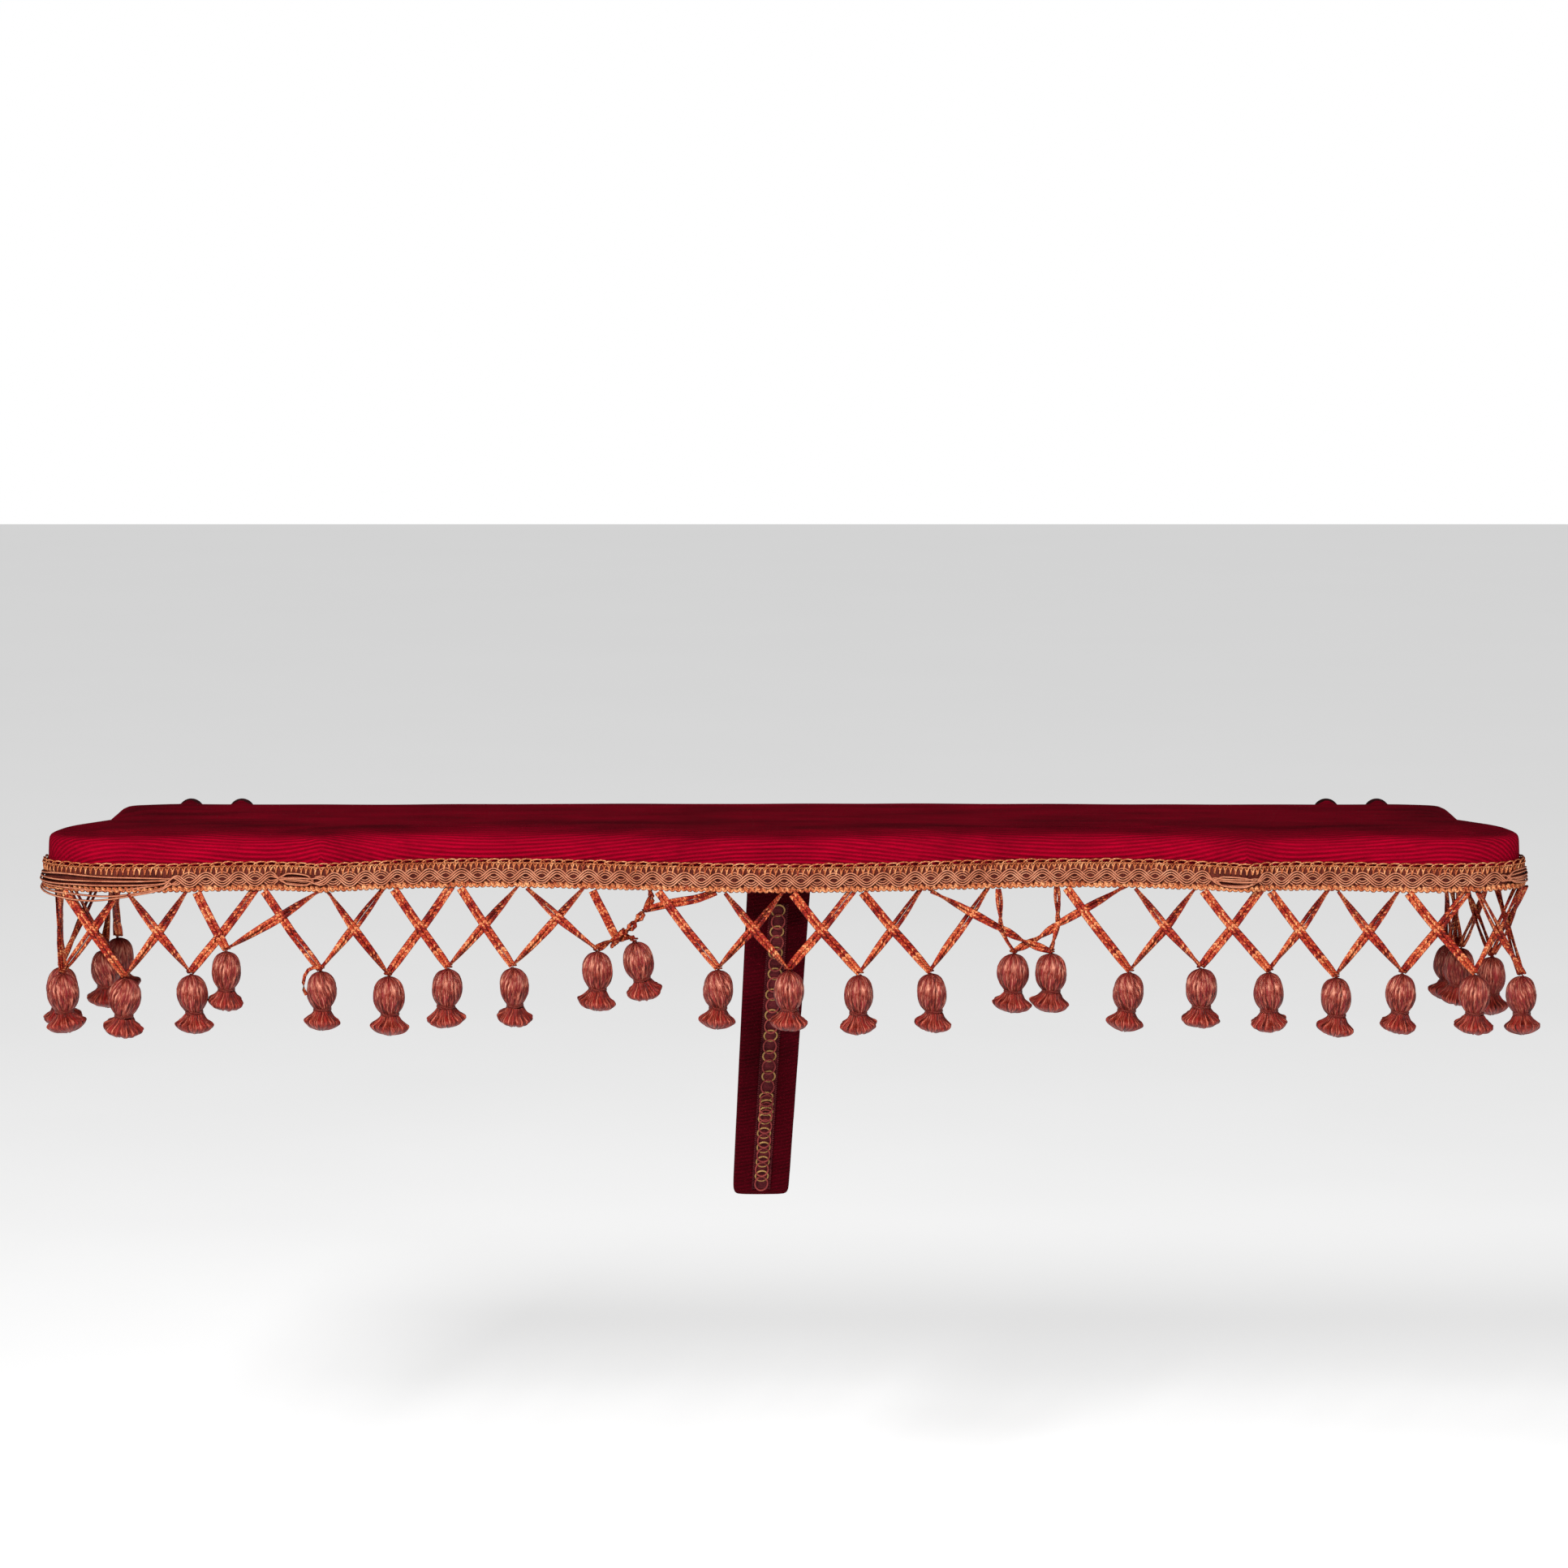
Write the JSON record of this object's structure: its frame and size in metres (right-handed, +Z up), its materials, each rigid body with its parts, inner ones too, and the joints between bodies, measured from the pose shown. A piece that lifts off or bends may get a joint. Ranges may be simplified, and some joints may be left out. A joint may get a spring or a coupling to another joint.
{
  "type": "wall shelf",
  "caption": "Velvet-covered wall shelf with a scalloped front, braided heading, netted tassel fringe and a folding braid-trimmed strut.",
  "frame": {"origin": "on the wall plane, midway between the two wall-screw holes", "axes": "+X to the right along the shelf, +Y towards the wall, +Z up; the front faces -Y"},
  "size_m": [0.8527, 0.1514, 0.2353],
  "materials": {
    "pine": "planed, unfinished",
    "wadding": "matt cotton",
    "velvet": "pile velvet, crimson, faded to pink-red on the front edge",
    "lining": "plain cotton",
    "gimp": "silk cord, salmon and gold",
    "net_cord": "flat soutache braid, copper, gold and crimson",
    "tassel_silk": "silk floss, copper with pink strands",
    "chain_braid": "chain gimp, old gold and rose",
    "brass": "aged",
    "steel": "dull"
  },
  "bodies": {
    "shelf": {"shelf_board": "pine", "top_wadding": "wadding", "velvet_cover": "velvet", "underside_lining": "lining", "lining_tacks": "brass", "heading_band": "gimp", "heading_wave_cords": "gimp", "heading_top_picots": "gimp", "heading_bottom_picots": "gimp", "net_cords_front": "net_cord", "net_cords_left": "net_cord", "net_cords_right": "net_cord", "wall_plate_left": "brass", "wall_plate_right": "brass", "wall_plate_screws": "brass", "hinge_leaf_board": "brass", "hinge_leaf_board_screws": "brass", "hinge_pin": "steel"},
    "strut": {"strut_core": "pine", "strut_velvet": "velvet", "strut_braid_band": "chain_braid", "strut_chain_loops": "chain_braid", "hinge_leaf_strut": "brass", "hinge_leaf_strut_screws": "brass"},
    "tassel_01": {"tassel_01": "tassel_silk"},
    "tassel_02": {"tassel_02": "tassel_silk"},
    "tassel_03": {"tassel_03": "tassel_silk"},
    "tassel_04": {"tassel_04": "tassel_silk"},
    "tassel_05": {"tassel_05": "tassel_silk"},
    "tassel_06": {"tassel_06": "tassel_silk"},
    "tassel_07": {"tassel_07": "tassel_silk"},
    "tassel_08": {"tassel_08": "tassel_silk"},
    "tassel_09": {"tassel_09": "tassel_silk"},
    "tassel_10": {"tassel_10": "tassel_silk"},
    "tassel_11": {"tassel_11": "tassel_silk"},
    "tassel_12": {"tassel_12": "tassel_silk"},
    "tassel_13": {"tassel_13": "tassel_silk"},
    "tassel_14": {"tassel_14": "tassel_silk"},
    "tassel_15": {"tassel_15": "tassel_silk"},
    "tassel_16": {"tassel_16": "tassel_silk"},
    "tassel_17": {"tassel_17": "tassel_silk"},
    "tassel_18": {"tassel_18": "tassel_silk"},
    "tassel_19": {"tassel_19": "tassel_silk"},
    "tassel_20": {"tassel_20": "tassel_silk"},
    "tassel_21": {"tassel_21": "tassel_silk"},
    "tassel_22": {"tassel_22": "tassel_silk"},
    "tassel_23": {"tassel_23": "tassel_silk"},
    "tassel_24": {"tassel_24": "tassel_silk"},
    "tassel_25": {"tassel_25": "tassel_silk"},
    "tassel_26": {"tassel_26": "tassel_silk"},
    "tassel_27": {"tassel_27": "tassel_silk"},
    "tassel_28": {"tassel_28": "tassel_silk"},
    "tassel_29": {"tassel_29": "tassel_silk"}
  },
  "joints": [
    {"name": "strut_fold", "type": "hinge", "parent": "shelf", "child": "strut", "pos_m": [0, -0.101, 0.0058], "axis": [1, 0, 0], "range_deg": [0, 60]},
    {"name": "tassel_01_swing", "type": "hinge", "parent": "shelf", "child": "tassel_01", "pos_m": [-0.39361, -0.01577, -0.0431], "axis": [-0.0027, -1, 0], "range_deg": [-20, 20]},
    {"name": "tassel_02_swing", "type": "hinge", "parent": "shelf", "child": "tassel_02", "pos_m": [-0.39436, -0.05748, -0.0431], "axis": [-0.0282, -0.9996, 0], "range_deg": [-20, 20]},
    {"name": "tassel_03_swing", "type": "hinge", "parent": "shelf", "child": "tassel_03", "pos_m": [-0.41414, -0.09198, -0.0471], "axis": [-0.458, -0.889, 0], "range_deg": [-20, 20]},
    {"name": "tassel_04_swing", "type": "hinge", "parent": "shelf", "child": "tassel_04", "pos_m": [-0.40738, -0.13055, -0.0441], "axis": [0.8367, -0.5476, 0], "range_deg": [-20, 20]},
    {"name": "tassel_05_swing", "type": "hinge", "parent": "shelf", "child": "tassel_05", "pos_m": [-0.37039, -0.14054, -0.0449], "axis": [0.9996, -0.0265, 0], "range_deg": [-20, 20]},
    {"name": "tassel_06_swing", "type": "hinge", "parent": "shelf", "child": "tassel_06", "pos_m": [-0.33408, -0.13743, -0.0435], "axis": [0.988, 0.1547, 0], "range_deg": [-20, 20]},
    {"name": "tassel_07_swing", "type": "hinge", "parent": "shelf", "child": "tassel_07", "pos_m": [-0.31405, -0.13436, -0.0308], "axis": [0.9913, 0.1315, 0], "range_deg": [-20, 20]},
    {"name": "tassel_08_swing", "type": "hinge", "parent": "shelf", "child": "tassel_08", "pos_m": [-0.26069, -0.14036, -0.0411], "axis": [0.9896, -0.1437, 0], "range_deg": [-20, 20]},
    {"name": "tassel_09_swing", "type": "hinge", "parent": "shelf", "child": "tassel_09", "pos_m": [-0.22387, -0.12772, -0.0462], "axis": [0.9656, 0.26, 0], "range_deg": [-20, 20]},
    {"name": "tassel_10_swing", "type": "hinge", "parent": "shelf", "child": "tassel_10", "pos_m": [-0.19023, -0.12155, -0.0431], "axis": [0.9952, 0.0974, 0], "range_deg": [-20, 20]},
    {"name": "tassel_11_swing", "type": "hinge", "parent": "shelf", "child": "tassel_11", "pos_m": [-0.15383, -0.12113, -0.0425], "axis": [0.9982, -0.0601, 0], "range_deg": [-20, 20]},
    {"name": "tassel_12_swing", "type": "hinge", "parent": "shelf", "child": "tassel_12", "pos_m": [-0.10545, -0.12737, -0.032], "axis": [0.9841, -0.1775, 0], "range_deg": [-20, 20]},
    {"name": "tassel_13_swing", "type": "hinge", "parent": "shelf", "child": "tassel_13", "pos_m": [-0.08454, -0.13131, -0.026], "axis": [0.9819, -0.1892, 0], "range_deg": [-20, 20]},
    {"name": "tassel_14_swing", "type": "hinge", "parent": "shelf", "child": "tassel_14", "pos_m": [-0.0371, -0.13926, -0.0406], "axis": [0.9928, -0.12, 0], "range_deg": [-20, 20]},
    {"name": "tassel_15_swing", "type": "hinge", "parent": "shelf", "child": "tassel_15", "pos_m": [0.00231, -0.14158, -0.0409], "axis": [1, 0.008, 0], "range_deg": [-20, 20]},
    {"name": "tassel_16_swing", "type": "hinge", "parent": "shelf", "child": "tassel_16", "pos_m": [0.04257, -0.13856, -0.0436], "axis": [0.9909, 0.1342, 0], "range_deg": [-20, 20]},
    {"name": "tassel_17_swing", "type": "hinge", "parent": "shelf", "child": "tassel_17", "pos_m": [0.08228, -0.13175, -0.044], "axis": [0.982, 0.1889, 0], "range_deg": [-20, 20]},
    {"name": "tassel_18_swing", "type": "hinge", "parent": "shelf", "child": "tassel_18", "pos_m": [0.12996, -0.12346, -0.0339], "axis": [0.9913, 0.1314, 0], "range_deg": [-20, 20]},
    {"name": "tassel_19_swing", "type": "hinge", "parent": "shelf", "child": "tassel_19", "pos_m": [0.15095, -0.12131, -0.0342], "axis": [0.9976, 0.0696, 0], "range_deg": [-20, 20]},
    {"name": "tassel_20_swing", "type": "hinge", "parent": "shelf", "child": "tassel_20", "pos_m": [0.19595, -0.12219, -0.0451], "axis": [0.992, -0.1261, 0], "range_deg": [-20, 20]},
    {"name": "tassel_21_swing", "type": "hinge", "parent": "shelf", "child": "tassel_21", "pos_m": [0.23529, -0.13112, -0.0412], "axis": [0.9504, -0.3109, 0], "range_deg": [-20, 20]},
    {"name": "tassel_22_swing", "type": "hinge", "parent": "shelf", "child": "tassel_22", "pos_m": [0.27338, -0.13516, -0.0428], "axis": [0.9567, 0.2911, 0], "range_deg": [-20, 20]},
    {"name": "tassel_23_swing", "type": "hinge", "parent": "shelf", "child": "tassel_23", "pos_m": [0.3109, -0.13395, -0.0459], "axis": [0.9929, -0.1193, 0], "range_deg": [-20, 20]},
    {"name": "tassel_24_swing", "type": "hinge", "parent": "shelf", "child": "tassel_24", "pos_m": [0.34801, -0.13937, -0.0429], "axis": [0.9935, -0.1136, 0], "range_deg": [-20, 20]},
    {"name": "tassel_25_swing", "type": "hinge", "parent": "shelf", "child": "tassel_25", "pos_m": [0.38864, -0.13821, -0.0436], "axis": [0.9719, 0.2355, 0], "range_deg": [-20, 20]},
    {"name": "tassel_26_swing", "type": "hinge", "parent": "shelf", "child": "tassel_26", "pos_m": [0.41902, -0.1161, -0.0481], "axis": [0.242, 0.9703, 0], "range_deg": [-20, 20]},
    {"name": "tassel_27_swing", "type": "hinge", "parent": "shelf", "child": "tassel_27", "pos_m": [0.40776, -0.08171, -0.0431], "axis": [-0.5826, 0.8127, 0], "range_deg": [-20, 20]},
    {"name": "tassel_28_swing", "type": "hinge", "parent": "shelf", "child": "tassel_28", "pos_m": [0.39419, -0.05155, -0.0431], "axis": [-0.0267, 0.9996, 0], "range_deg": [-20, 20]},
    {"name": "tassel_29_swing", "type": "hinge", "parent": "shelf", "child": "tassel_29", "pos_m": [0.39361, -0.01577, -0.0471], "axis": [-0.0027, 1, 0], "range_deg": [-20, 20]}
  ]
}
